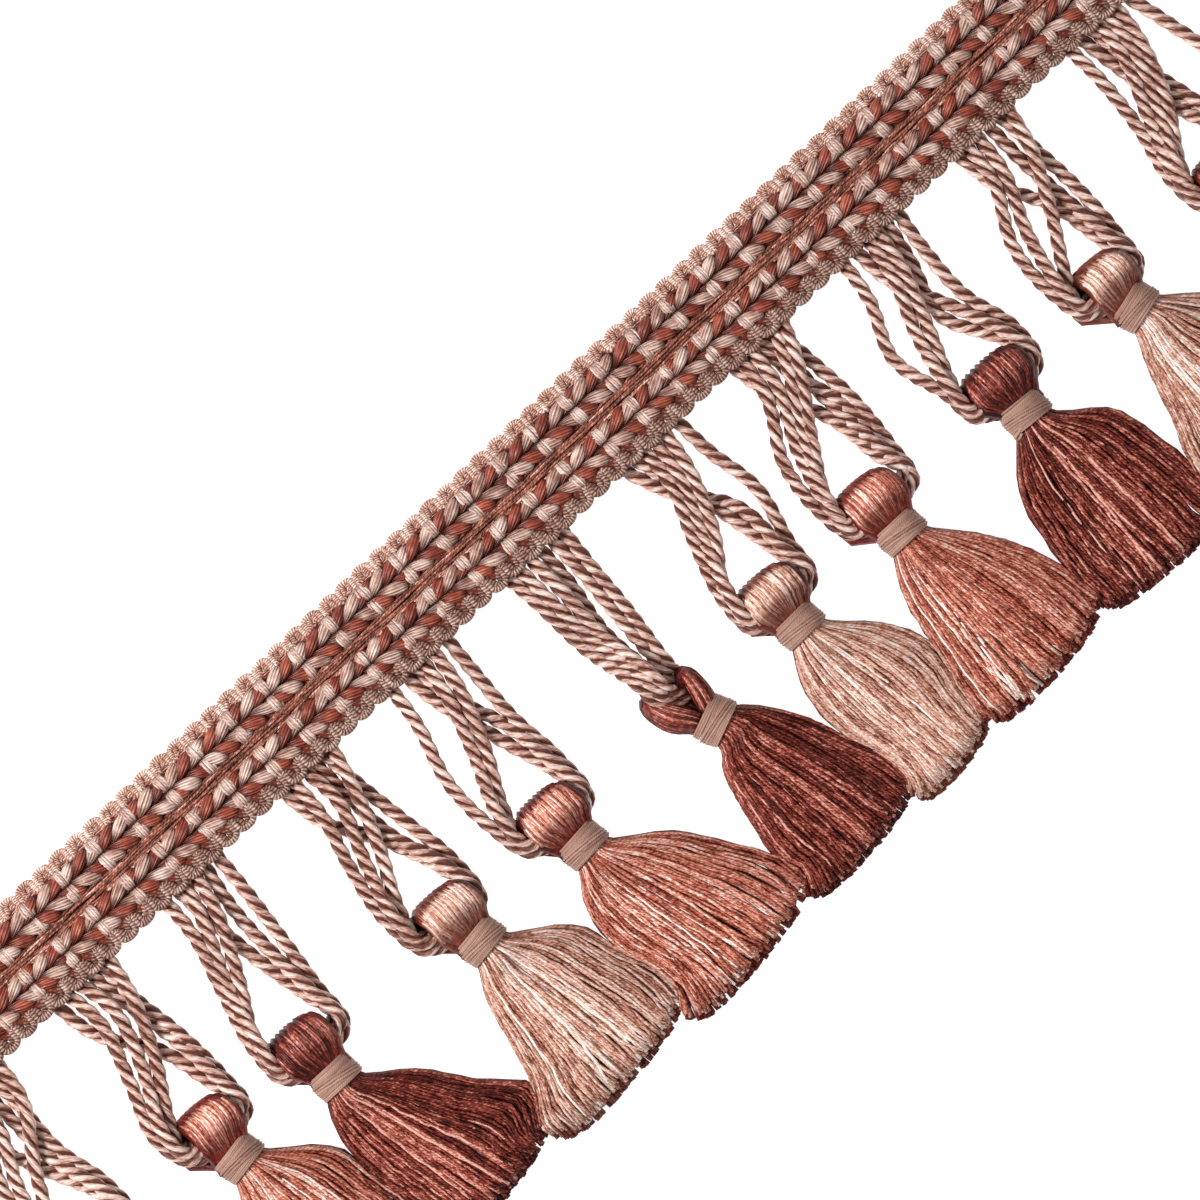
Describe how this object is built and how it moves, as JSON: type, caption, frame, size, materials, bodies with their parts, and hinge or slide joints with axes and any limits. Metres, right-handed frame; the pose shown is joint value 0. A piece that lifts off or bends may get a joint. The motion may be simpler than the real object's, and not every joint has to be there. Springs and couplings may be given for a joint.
{
  "type": "tassel fringe trim",
  "caption": "Cut length of tassel fringe: a flat braided heading with looped edges, and folded yarn tassels in cream, coral and rust hung on twisted cord loops.",
  "frame": {"origin": "centre of the heading's flat back, midway along it", "axes": "+X along the heading, +Y from the hems towards the heading's upper edge, +Z out of the trim's face"},
  "size_m": [0.341, 0.1129, 0.0138],
  "materials": {
    "heading_braid": "matte braided yarn",
    "twisted_cord": "satin twisted cord",
    "tie_thread": "satin thread",
    "cream_yarn": "silky fine yarn",
    "coral_yarn": "silky fine yarn",
    "rust_yarn": "silky fine yarn"
  },
  "bodies": {
    "root": {"heading": "heading_braid", "hanger_00": "twisted_cord", "hanger_01": "twisted_cord", "hanger_02": "twisted_cord", "hanger_03": "twisted_cord", "hanger_04": "twisted_cord", "hanger_05": "twisted_cord", "hanger_06": "twisted_cord", "hanger_07": "twisted_cord", "hanger_08": "twisted_cord", "hanger_09": "twisted_cord", "hanger_10": "twisted_cord", "tassel_00": "cream_yarn", "tassel_01": "coral_yarn", "tassel_02": "rust_yarn", "tassel_03": "cream_yarn", "tassel_04": "coral_yarn", "tassel_05": "rust_yarn", "tassel_06": "cream_yarn", "tassel_07": "coral_yarn", "tassel_08": "rust_yarn", "tassel_09": "cream_yarn", "tassel_10": "coral_yarn", "tie_00": "tie_thread", "tie_01": "tie_thread", "tie_02": "tie_thread", "tie_03": "tie_thread", "tie_04": "tie_thread", "tie_05": "tie_thread", "tie_06": "tie_thread", "tie_07": "tie_thread", "tie_08": "tie_thread", "tie_09": "tie_thread", "tie_10": "tie_thread"}
  },
  "joints": []
}
